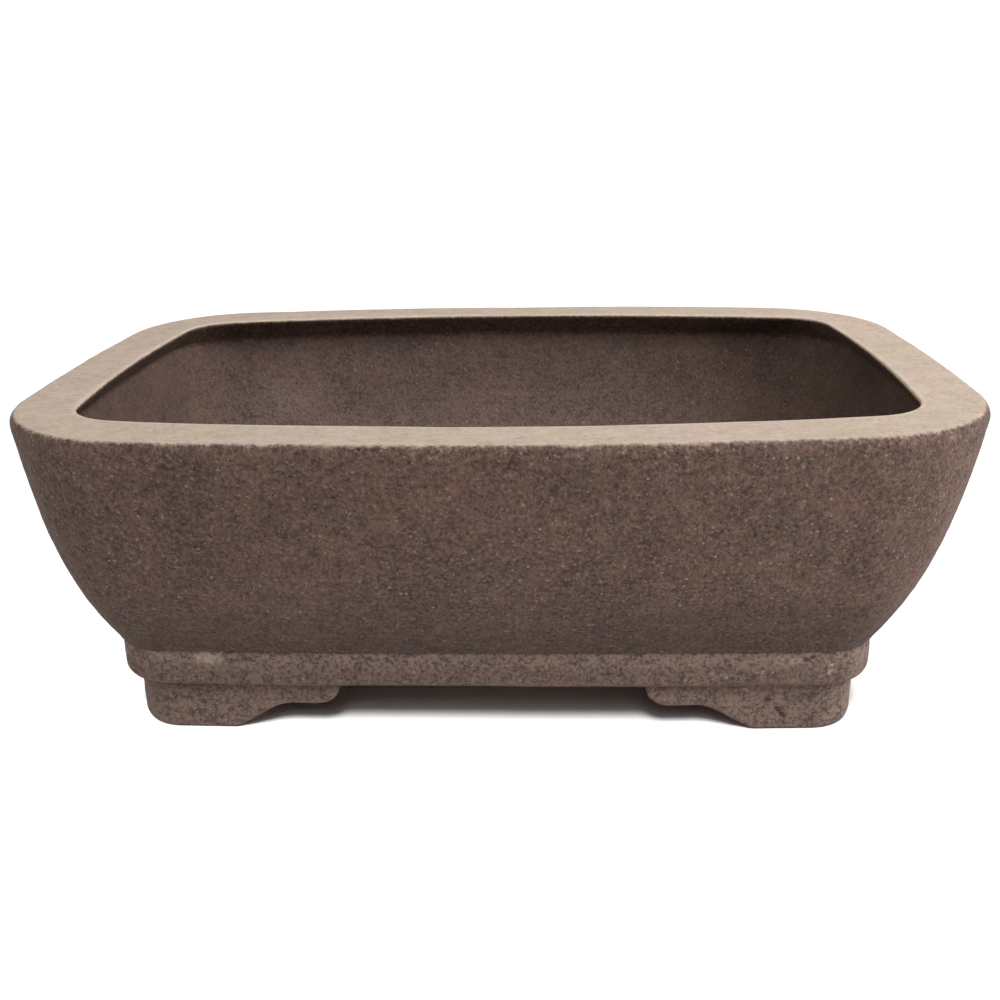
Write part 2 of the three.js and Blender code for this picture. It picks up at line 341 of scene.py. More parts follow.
def base_marks(points):
    """Dust, smears of slip and dark of the moulding and the feet, and how deep the dark marks are cut. Dust,
    with a painted highlight where the edge faces up, lies along the moulding's top edge, and the joints with
    the feet are dark.
    """
    z = points[..., 2]
    on_band = smoothstep(z, FOOT_HEIGHT, FOOT_HEIGHT + 2 * MM)
    edge_low, edge_high = (SEAT - below for below in EDGE_HIGHLIGHT_BELOW)
    # Along the moulding's top edge the dust is also a painted highlight, where the edge faces up to the
    # light.
    dust = BASE_DUST + EDGE_DUST_AND_HIGHLIGHT * smoothstep(z, edge_low, edge_high) * on_band
    dust = dust + FOOT_DUST * smoothstep(FOOT_HEIGHT - z, 0, FOOT_DUST_FADE)
    reach = np.where(z > FOOT_HEIGHT, JOINT_REACH_UP, JOINT_REACH_DOWN)
    joint = smoothstep(1 - np.abs(z - FOOT_HEIGHT) / reach, 0, 0.9)
    patches = 1 - JOINT_PATCH_SHARE * (1 - value_noise(points, JOINT_PATCH, JOINT_SEED))
    dark = JOINT_DARK * joint * patches
    smear = np.zeros(z.shape)
    cut = 0.0
    for kind, start, end, half_width, strength in MARKS:
        here = near_segment(points, start, end, half_width) * strength
        if kind == "pale":
            smear = np.maximum(smear, here)
        else:
            dark = np.maximum(dark, here)
            cut = np.maximum(cut, here * MARK_DEPTH)
    return dust, smear, dark, cut


def inside_looks(points):
    """Dust and dark of the inside: dust settles low and less of it lies to the right, and painted shade falls
    under the lip and over the right end.
    """
    x, y, z = points[..., 0], points[..., 1], points[..., 2]
    dust = INSIDE_DUST + FLOOR_DUST * smoothstep(WALL_TOP - z, *DUST_DEPTHS)
    dust = dust * (1 - DUST_CLEARED * smoothstep(x, *DUST_CLEARED_X))
    away = np.hypot(x - BLOOM_X, (z - BLOOM_Z) * BLOOM_FLATNESS) / BLOOM_RADIUS
    dust = dust + BLOOM_DUST * np.exp(-away ** 2) * (y > 0)
    # Painted shade under the lip.
    shade_low, shade_high = (HEIGHT - below for below in LIP_SHADE_BELOW)
    under_lip = LIP_PAINTED_SHADE * smoothstep(z, shade_low, shade_high)
    # Painted shade over the right end inside.
    return dust, np.maximum(under_lip, INSIDE_PAINTED_SHADE * smoothstep(x, *INSIDE_SHADE_X))


# ---------------------------------------------------------------- meshes

def grid_normals(points, closed):
    """Outward normals of a skin given as columns by profile points, running counterclockwise and upwards."""
    if closed:
        along = np.roll(points, -1, axis=0) - np.roll(points, 1, axis=0)
    else:
        along = np.gradient(points, axis=0)
    up = np.gradient(points, axis=1)
    normal = np.cross(along, up)
    return normal / np.maximum(np.linalg.norm(normal, axis=-1, keepdims=True), 1e-12)


def add_piece(name, material, vertices, faces, attributes, normals=None):
    """A mesh that stands for the CAD node of its name. Without normals of its own, it is shaded smooth from
    its faces, and sharp where they turn by a lot.
    """
    mesh = bpy.data.meshes.new(f"{name}_clay")
    mesh.from_pydata(vertices, [], faces)
    mesh.polygons.foreach_set("use_smooth", [True] * len(mesh.polygons))
    for key, values in attributes.items():
        attribute = mesh.attributes.new(key, "FLOAT", "POINT")
        attribute.data.foreach_set("value", np.asarray(values, np.float32).ravel())
    mesh.validate()
    if normals is None:
        mesh.set_sharp_from_angle(angle=SHARP_ANGLE)
    else:
        mesh.normals_split_custom_set_from_vertices(normals)
    mesh.materials.append(material)
    piece = bpy.data.objects.new(f"{name}_clay", mesh)
    bpy.context.scene.collection.objects.link(piece)
    pot_lit.objects.link(piece)
    if not name.startswith(("wall", "rim")):
        shades_floor.objects.link(piece)
    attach(piece, "root")
    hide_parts(name)


def strip_faces(columns, size):
    """Faces of a closed section carried along columns, with a cap at each end."""
    faces = []
    for column in range(columns - 1):
        a = column * size
        for i in range(size):
            j = (i + 1) % size
            faces.append((a + i, a + size + i, a + size + j, a + j))
    last = (columns - 1) * size
    faces.append(tuple(range(size)))
    faces.append(tuple(range(last + size - 1, last - 1, -1)))
    return faces


def cut_strips(label, material, ring, normals, mitres, attributes):
    """The four strips of a course, from mitre to mitre. Its section is closed."""
    size = ring.shape[1]
    for side, first, last in zip(SIDES, mitres, mitres[1:]):
        columns = np.arange(first, last + 1) % ring.shape[0]
        vertices = ring[columns].reshape(-1, 3)
        cut = {key: values[columns] for key, values in attributes.items()}
        add_piece(
            f"{label}_{side}", material, vertices.tolist(), strip_faces(len(columns), size), cut,
            normals[columns].reshape(-1, 3).tolist(),
        )


# ---------------------------------------------------------------- profiles

def resample(path, spacing):
    """Evenly spaced points along a polyline, its ends kept."""
    path = np.asarray(path, float)
    lengths = np.concatenate([[0], np.cumsum(np.linalg.norm(np.diff(path, axis=0), axis=1))])
    count = max(2, round(lengths[-1] / spacing) + 1)
    at = np.linspace(0, lengths[-1], count)
    return np.stack([np.interp(at, lengths, path[:, k]) for k in range(2)], axis=1)


def ellipse(centre, radii, first, last, steps=24):
    """Points of an elliptic arc, angles in quarter turns from +inset towards +height."""
    angle = np.linspace(first, last, steps + 1) * math.pi / 2
    return [(centre[0] + radii[0] * math.cos(a), centre[1] + radii[1] * math.sin(a)) for a in angle]


def skin_profile():
    """The pot's skin in inset and height: up the outside, over the rim, and down the inside to the floor.
    Gives the points, and the places in them where the rim starts and ends.
    """
    heights = np.linspace(SEAT, WALL_TOP, 60)
    outside = np.stack([wall_inset(heights), heights], axis=1)
    foot_centre = (wall_inset(SEAT) + WALL_FOOT, SEAT + WALL_FOOT)
    foot_turn = ellipse(foot_centre, (WALL_FOOT, WALL_FOOT), -1, -2, 6)
    outside = np.concatenate([foot_turn, outside[outside[:, 1] > SEAT + 1.3 * WALL_FOOT]])
    lip_top = HEIGHT - LIP_EDGE
    inner_top = (wall_inset(WALL_TOP) + WALL_THICKNESS, WALL_TOP)
    edge = ellipse((RIM_EDGE[0], WIDEST), RIM_EDGE, 2, 1)
    lip = ellipse((RIM_WIDTH - LIP_EDGE, lip_top), (LIP_EDGE, LIP_EDGE), 1, 0, 12)
    under_lip = (RIM_WIDTH, lip_top - LIP_FACE)
    rim = [tuple(outside[-1])] + edge + lip + [under_lip, inner_top]
    heights = np.linspace(WALL_TOP, SEAT + COVE, 40)
    inside = [(wall_inset(h) + WALL_THICKNESS, h) for h in heights]
    start = inside[-1]
    end = (wall_inset(SEAT) + WALL_THICKNESS + COVE, SEAT)
    steep = (start[0] + COVE * COVE_STEEP[0], SEAT + COVE * COVE_STEEP[1])
    level = (end[0] - COVE * COVE_LEVEL, SEAT)
    for t in np.linspace(0, 1, 17)[1:]:
        weights = ((1 - t) ** 3, 3 * t * (1 - t) ** 2, 3 * t * t * (1 - t), t ** 3)
        inside.append(tuple(np.dot(weights, (start, steep, level, end))))
    parts = [resample(outside, FINE), resample(rim, RIM_FINE), resample(inside, COARSE)]
    points = np.concatenate([parts[0], parts[1][1:], parts[2][1:]])
    first = len(parts[0]) - 1
    return points, first, first + len(parts[1]) - 1


def band_profile():
    """The moulding's skin: out along the bottom, round the lower edge, up, and over the top edge."""
    back = BAND_INSET + BAND_THICKNESS
    path = [(back, FOOT_HEIGHT)]
    path += ellipse((BAND_INSET + BAND_UNDER[0], FOOT_HEIGHT + BAND_UNDER[1]), BAND_UNDER, 3, 2)
    path += ellipse((BAND_INSET + BAND_TOP[0], SEAT - BAND_TOP[1]), BAND_TOP, 2, 1)
    return resample(path, BAND_FINE)


# ---------------------------------------------------------------- courses

def make_walls_and_rim(clay, rim_clay):
    """The walls and the rim as one skin, cut where the rim starts and ends and then at the mitres."""
    profile, rim_first, rim_last = skin_profile()
    ring, mitres = plan_ring(profile[:, 0], profile[:, 1], FINE)
    inset, height = profile[:, 0], profile[:, 1]
    place = np.arange(len(profile))
    on_rim = (place >= rim_first) & (place <= rim_last)
    inside = place > rim_last
    # The slip covers the rim's top and lip, and runs out down the outside and at the end of the lip. Kept to
    # the top, it is partly painted light: the top's light from above.
    lip_away = np.hypot(inset - RIM_WIDTH, height - HEIGHT + LIP_EDGE)
    lip_end = np.argmin(np.where(on_rim, lip_away, 1))
    slip = smoothstep(inset, *SLIP_AND_TOP_LIGHT_FADE) * (height > WIDEST)
    slip = np.where((place > rim_first) & (inset > RIM_WIDTH / 2), 1.0, slip)
    slip = np.where(place >= lip_end, smoothstep(lip_end - place, *LIP_SLIP_AND_LIGHT_POINTS), slip)
    # A painted highlight along the rim's inner edge rides on the slip, above full cover.
    highlight_first, highlight_last = (RIM_WIDTH - distance for distance in PAINTED_HIGHLIGHT_INSET)
    slip = slip * (1 + LIP_PAINTED_HIGHLIGHT * smoothstep(inset, highlight_first, highlight_last) * on_rim)
    slip = np.broadcast_to(slip, ring.shape[:2])
    normals = grid_normals(ring, True)
    rest = smoothstep(place, 0, SETTLE_POINTS)
    depth = hollows(ring, smoothstep(slip, *SMOOTHING_SLIP)) * rest
    ring = ring - normals * depth[..., None]
    normals = grid_normals(ring, True)
    inside_dust, inside_shade = inside_looks(ring)
    dust = np.where(inside, inside_dust, 0.0)
    # Painted shade low on the outside, where the wall curls in to face down.
    outside_shade = WALL_FOOT_PAINTED_SHADE * smoothstep(SEAT + WALL_FOOT_SHADE_REACH - height, 0, WALL_FOOT_SHADE_REACH)
    dark = np.where(place > lip_end, inside_shade, outside_shade)
    worn = np.broadcast_to(inside * 1.0, ring.shape[:2])
    attributes = {"slip": slip, "dust": dust, "dark": dark, "worn": worn}

    rim = place[rim_first: rim_last + 1]
    wall = np.concatenate([place[: rim_first + 1], place[rim_last:]])
    for label, slot, material, part in (
        ("rim", "sponged_rim_clay", rim_clay, rim),
        ("wall", "sandy_clay", clay, wall),
    ):
        cut = {key: values[:, part] for key, values in attributes.items()}
        cut_strips(label, material, ring[:, part], normals[:, part], mitres, cut)


def make_moulding(clay):
    """The moulding: its skin, closed by one column of points at the back of its top."""
    profile = band_profile()
    ring, mitres = plan_ring(profile[:, 0], profile[:, 1], FINE)
    place = np.arange(len(profile))
    normals = grid_normals(ring, True)
    rest = smoothstep(np.minimum(place, len(profile) - 1 - place), 0, SETTLE_POINTS)
    dust, smear, dark, cut = base_marks(ring)
    depth = hollows(ring, 0) * rest + cut
    ring = ring - normals * depth[..., None]
    normals = grid_normals(ring, True)
    back, _ = plan_ring(np.array([BAND_INSET + BAND_THICKNESS]), np.array([SEAT]), FINE)
    ring = np.concatenate([ring, back], axis=1)
    normals = np.concatenate([normals, normals[:, -1:]], axis=1)
    attributes = {"slip": smear, "dust": dust, "dark": dark, "worn": np.zeros(dust.shape)}
    for key, values in attributes.items():
        attributes[key] = np.concatenate([values, values[:, -1:]], axis=1)
    cut_strips("base_moulding", clay, ring, normals, mitres, attributes)


def inside_polygon(points, polygon):
    """Whether each point is inside a polygon, by crossings."""
    x, y = points[:, 0], points[:, 1]
    inside = np.zeros(len(points), bool)
    for (x0, y0), (x1, y1) in zip(polygon, np.roll(polygon, -1, axis=0)):
        crosses = (y0 > y) != (y1 > y)
        with np.errstate(divide="ignore", invalid="ignore"):
            at = x0 + (y - y0) * (x1 - x0) / (y1 - y0)
        inside ^= crosses & (x < at)
    return inside


def floor_grid(outline, holes):
    """Points of a hexagonal grid inside the floor's outline and clear of its holes."""
    half_x, half_y = np.abs(outline).max(0)
    grid = []
    for i, y in enumerate(np.arange(-half_y, half_y, FLOOR_SPACING * math.sqrt(3) / 2)):
        for x in np.arange(-half_x + (i % 2) * FLOOR_SPACING / 2, half_x, FLOOR_SPACING):
            grid.append((x, y))
    grid = np.array(grid)
    clear = FLOOR_SPACING * 0.7
    nearest = np.full(len(grid), np.inf)
    for x, y in outline:
        nearest = np.minimum(nearest, np.hypot(grid[:, 0] - x, grid[:, 1] - y))
    keep = inside_polygon(grid, outline) & (nearest > clear)
    for x, y, radius in holes:
        keep &= np.hypot(grid[:, 0] - x, grid[:, 1] - y) > radius + HOLE_EDGE + clear
    return grid[keep]


def floor_triangles(loops, holes):
    """The floor seen from above: points, those of its loops first, and triangles, counterclockwise, that
    leave its holes free.
    """
    points = [Vector(p) for loop in loops for p in loop] + [Vector(p) for p in floor_grid(loops[0], holes)]
    edges = []
    start = 0
    for loop in loops:
        edges += [(start + i, start + (i + 1) % len(loop)) for i in range(len(loop))]
        start += len(loop)
    flat, _, triangles, _, _, _ = delaunay_2d_cdt(points, edges, [], 0, 1e-7)
    flat = np.array(flat)
    centres = flat[np.array(triangles)].mean(1)
    keep = inside_polygon(centres, loops[0])
    for x, y, radius in holes:
        keep &= np.hypot(centres[:, 0] - x, centres[:, 1] - y) > (radius + HOLE_EDGE) * 0.999
    upright = []
    for (a, b, c), kept in zip(triangles, keep):
        if kept:
            (ax, ay), (bx, by), (cx, cy) = flat[a], flat[b], flat[c]
            turns_left = (bx - ax) * (cy - ay) > (by - ay) * (cx - ax)
            upright.append((a, b, c) if turns_left else (a, c, b))
    return flat, upright


def hole_levels():
    """A hole's wall from the top of the floor down, as distance outside its radius and height: a worn edge,
    the bore and a worn edge.
    """
    turns = np.linspace(0, math.pi / 2, 5)[1:]
    worn = [(HOLE_EDGE * (1 - math.sin(a)), HOLE_EDGE * (1 - math.cos(a))) for a in turns]
    levels = [(out, SEAT - down) for out, down in worn]
    levels += [(0, z) for z in np.linspace(SEAT - HOLE_EDGE, FOOT_HEIGHT + HOLE_EDGE, 12)[1:-1]]
    return levels + [(out, FOOT_HEIGHT + up) for out, up in reversed(worn)]


def circle(x, y, radius, count):
    """Points of a circle, counterclockwise from +X."""
    angle = np.linspace(0, 2 * math.pi, count, endpoint=False)
    return np.stack([x + radius * np.cos(angle), y + radius * np.sin(angle)], axis=1)


def make_floor(clay):
    """The slab with its holes: two faces of triangles, the outer edge, and the holes' walls."""
    outline, _ = plan_ring(np.array([BAND_INSET + BAND_THICKNESS]), np.array([SEAT]), 2 * COARSE)
    loops = [outline[:, 0, :2]]
    holes = []
    for sign_x in (-1, 1):
        holes.append((BASE_SHIFT + sign_x * DRAIN_X, 0, DRAIN_RADIUS))
        for sign_y in (-1, 1):
            holes.append((BASE_SHIFT + sign_x * WIRE_X, sign_y * WIRE_Y, WIRE_RADIUS))
    for x, y, radius in holes:
        loops.append(circle(x, y, radius + HOLE_EDGE, max(24, round(2 * math.pi * radius / HOLE_SPACING))))

    flat, triangles = floor_triangles(loops, holes)
    count, size = len(flat), len(loops[0])
    top = np.column_stack([flat, np.full(count, SEAT)])
    bottom = np.column_stack([flat, np.full(count, FOOT_HEIGHT)])
    free = np.arange(count) >= size
    top[:, 2] -= hollows(top, 0) * free
    bottom[:, 2] += hollows(bottom, 0) * free
    vertices = np.concatenate([top, bottom]).tolist()
    faces = []
    for a, b, c in triangles:
        faces.append((a, b, c))
        faces.append((count + a, count + c, count + b))

    def join(above, below):
        """Faces between two rings of points."""
        for i, a in enumerate(above):
            j = (i + 1) % len(above)
            faces.append((a, above[j], below[j], below[i]))

    join(list(range(size - 1, -1, -1)), list(range(count + size - 1, count - 1, -1)))
    start = size
    for (x, y, radius), loop in zip(holes, loops[1:]):
        above = list(range(start, start + len(loop)))
        last = [count + i for i in above]
        for out, z in hole_levels():
            below = list(range(len(vertices), len(vertices) + len(loop)))
            vertices += [[px, py, z] for px, py in circle(x, y, radius + out, len(loop))]
            join(above, below)
            above = below
        join(above, last)
        start += len(loop)
    dust, dark = inside_looks(np.array(vertices))
    attributes = {"slip": np.zeros(len(vertices)), "dust": dust, "dark": dark, "worn": np.ones(len(vertices))}
    add_piece("floor_slab", clay, vertices, faces, attributes)


# ---------------------------------------------------------------- feet

def underside(distance, arm):
    """Height of a foot's underside, at a distance along an arm from the middle of the corner."""
    slope = WING_HEIGHT * smoothstep(distance, arm["pad"], arm["slope"])
    past_wing = max(0.0, (distance - arm["wing"]) / (arm["tip"] - arm["wing"]))
    tip_rise = FOOT_HEIGHT - WING_TIP - WING_HEIGHT
    return slope + tip_rise * (1 - math.sqrt(max(0.0, 1 - past_wing ** 2)))


def foot_section(low):
    """Section across a foot, in depth from its outer face and height: from the top of the back, down, along
    the underside, round the outer edge and up to the top of the front.
    """
    room = FOOT_HEIGHT - low
    edge = min(FOOT_EDGE, EDGE_SHARE * room)
    back_edge = min(FOOT_BACK_EDGE, EDGE_SHARE * room)
    back = ellipse((FOOT_THICKNESS - back_edge, low + back_edge), (back_edge, back_edge), 0, -1, 6)
    outer = ellipse((edge, low + edge), (edge, edge), -1, -2, 14)
    rise = np.linspace(0, 1, 14)
    path = [(FOOT_THICKNESS, FOOT_HEIGHT + (back[0][1] - FOOT_HEIGHT) * t) for t in rise[:-1]] + back
    flat = np.linspace(back[-1][0], outer[0][0], 16)[1:-1]
    path += [(d, low) for d in flat] + outer
    joint = min(FOOT_JOINT, EDGE_SHARE * room)
    path += [(0, outer[-1][1] + (FOOT_HEIGHT - joint - outer[-1][1]) * t) for t in rise[1:-1]]
    path += ellipse((joint, FOOT_HEIGHT - joint), (joint, joint), 2, 1, 5)
    return np.array(path)


def arc_point(parts, lengths, distance):
    """Point and tangent on the quarter's three arcs, at a distance from their start."""
    arc = 0
    while arc < 2 and distance > lengths[arc]:
        distance -= lengths[arc]
        arc += 1
    centre_x, centre_y, radius, first, _ = (part[arc, 0] for part in parts)
    angle = first + distance / radius
    point = (centre_x + radius * math.cos(angle), centre_y + radius * math.sin(angle))
    return point, (-math.sin(angle), math.cos(angle))


def make_foot(face, end, sign_x, sign_y, clay):
    """A foot: its section carried round the corner of the base, from one tip to the other."""
    parts = quarter_arcs(np.array([FOOT_INSET]), np.array([FOOT_HEIGHT]))
    lengths = (parts[2] * (parts[4] - parts[3]))[:, 0]
    middle = lengths[0] + lengths[1] / 2
    reach = np.arange(-FRONT_ARM["tip"], SIDE_ARM["tip"], FOOT_SPACING)
    # The tips turn up steeply, so the sections there follow the turn.
    turn = 1 - (1 - np.linspace(0, 1, 14)) ** 2
    front_tip = -(FRONT_ARM["wing"] + (FRONT_ARM["tip"] - FRONT_ARM["wing"]) * turn)
    side_tip = SIDE_ARM["wing"] + (SIDE_ARM["tip"] - SIDE_ARM["wing"]) * turn
    reach = reach[(reach > -FRONT_ARM["wing"]) & (reach < SIDE_ARM["wing"])]
    stations = np.concatenate([front_tip[::-1], reach, side_tip])
    rows = []
    for distance in stations:
        (x, y), (tangent_x, tangent_y) = arc_point(parts, lengths, middle + distance)
        low = underside(abs(distance), FRONT_ARM if distance < 0 else SIDE_ARM)
        section = foot_section(low)
        depth, height = section[:, 0], section[:, 1]
        rows.append(np.stack([
            BASE_SHIFT + sign_x * (x - tangent_y * depth),
            -sign_y * (y + tangent_x * depth),
            height,
        ], axis=1))
    points = np.array(rows)
    if sign_x == sign_y:
        points = points[::-1]
    normals = grid_normals(points, False)
    # The top meets the moulding, so it has no hollows, and the pad has few.
    height = points[..., 2]
    rest = smoothstep(FOOT_HEIGHT - height, 0, FOOT_TOP_KEPT)
    rest = rest * (PAD_SHARE + (1 - PAD_SHARE) * smoothstep(height, 0, PAD_FADE))
    dust, smear, dark, cut = base_marks(points)
    points = points - normals * (hollows(points, 0) * rest + cut)[..., None]
    points[..., 2] = np.clip(points[..., 2], 0, FOOT_HEIGHT)
    normals = grid_normals(points, False)
    add_piece(
        f"foot_{face}_{end}", clay,
        points.reshape(-1, 3).tolist(), strip_faces(points.shape[0], points.shape[1]),
        {"slip": smear, "dust": dust, "dark": dark, "worn": np.zeros(dust.shape)},
        normals.reshape(-1, 3).tolist(),
    )


# ---------------------------------------------------------------- materials

class Nodes:
    """A short way to write a node tree."""

    def __init__(self, name):
        self.material = bpy.data.materials.new(name)
        self.material.use_nodes = True
        self.tree = self.material.node_tree
        self.shader = self.tree.nodes["Principled BSDF"]
        self.place = self.add("ShaderNodeTexCoord").outputs["Object"]

    def add(self, kind, inputs=(), **settings):
        node = self.tree.nodes.new(kind)
        for key, value in settings.items():
            setattr(node, key, value)
        for key, value in dict(inputs).items():
            self.set(node.inputs[key], value)
        return node

    def set(self, socket, value):
        if isinstance(value, bpy.types.NodeSocket):
            self.tree.links.new(value, socket)
        else:
            socket.default_value = value

    def math(self, operation, a, b=0.0, clamp=False):
        node = self.add("ShaderNodeMath", {0: a, 1: b}, operation=operation, use_clamp=clamp)
        return node.outputs[0]

    def range(self, value, low, high, new_low=0.0, new_high=1.0):
        inputs = {"Value": value, "From Min": low, "From Max": high, "To Min": new_low, "To Max": new_high}
        return self.add("ShaderNodeMapRange", inputs, interpolation_type="SMOOTHSTEP").outputs["Result"]

    def noise(self, size, detail=2.0, roughness=0.5, place=None):
        """Noise of 0 to 1, most of it between 0.25 and 0.75."""
        inputs = {"Vector": place or self.place, "Scale": 1 / size, "Detail": detail, "Roughness": roughness}
        return self.add("ShaderNodeTexNoise", inputs).outputs["Fac"]

    def swing(self, noise, size):
        """That noise as a change of tone, from -size to size."""
        return self.range(noise, 0.25, 0.75, -size, size)

    def cells(self, size):
        return self.add("ShaderNodeTexVoronoi", {"Vector": self.place, "Scale": 1 / size, "Randomness": 1.0})

    def mix(self, factor, a, b, blend="MIX"):
        node = self.add("ShaderNodeMix", data_type="RGBA", blend_type=blend)
        self.set(node.inputs[0], factor)
        self.set(node.inputs[6], a if isinstance(a, bpy.types.NodeSocket) else (*a, 1))
        self.set(node.inputs[7], b if isinstance(b, bpy.types.NodeSocket) else (*b, 1))
        return node.outputs[2]

    def shifted(self, distance):
        """The same coordinates further along, for a pattern that has nothing to do with the others."""
        inputs = {"Vector": self.place, "Location": (distance,) * 3}
        return self.add("ShaderNodeMapping", inputs).outputs["Vector"]

    def scale_colour(self, colour, tone):
        node = self.add("ShaderNodeVectorMath", {0: colour, "Scale": tone}, operation="SCALE")
        return node.outputs["Vector"]

    def attribute(self, name):
        return self.add("ShaderNodeAttribute", attribute_name=name).outputs["Fac"]

    def channel(self, colour, index):
        return self.add("ShaderNodeSeparateColor", {"Color": colour}).outputs[index]


# Colours, linear.
CLAY = (0.0670, 0.0393, 0.0298)
CLAY_RED = (0.0750, 0.0392, 0.0318)
CLAY_OLIVE = (0.0620, 0.0418, 0.0255)
CLAY_GREY = (0.0615, 0.0405, 0.0335)
GRAIN_PALE = (0.185, 0.133, 0.116)
DARK_GRAIN_AND_SHADE = (0.016, 0.0090, 0.0066)
# Pale dust, which along the moulding's top edge also paints a highlight.
DUST_AND_HIGHLIGHT = (0.150, 0.108, 0.089)
# The slip's own pale colour, which on the rim's top also paints the light from above.
SLIP_AND_TOP_LIGHT = (0.335, 0.266, 0.215)
SLIP_PINK_AND_TOP_LIGHT = (0.345, 0.262, 0.222)
SLIP_OLIVE_AND_TOP_LIGHT = (0.306, 0.262, 0.190)
SLIP_THIN = (0.210, 0.165, 0.135)

# Sizes of the patterns.
MOTTLE = 7 * MM
GREY_MOTTLE = 9 * MM
CLOUD = 22 * MM
PATCH = 4.5 * MM
BODY = 1.15 * MM
COARSE_GRAIN = 1.5 * MM
FINE_GRAIN = 0.70 * MM
SPECK = 2.3 * MM
PIT = 1.35 * MM
SLIP_TINT = 15 * MM
SLIP_PATCH = 6 * MM
SLIP_EDGE_PATCH = 5 * MM
RUB = 1.5 * MM
RUB_STRETCH = (0.35, 1.0, 1.0)

# Heights of the relief, in millimetres.
BODY_HEIGHT = 0.46
FINE_HEIGHTS = (0.01, 0.07)
SPECK_HEIGHT = 0.06
PIT_DEPTH = 0.14
RUB_HEIGHT = 0.06
UNDER_SLIP = 0.22  # share of the clay's relief that shows through full slip

# What water and soil have left of the grain and of its relief inside the pot.
WORN_GRAIN = 0.55
WORN_BODY = 0.6


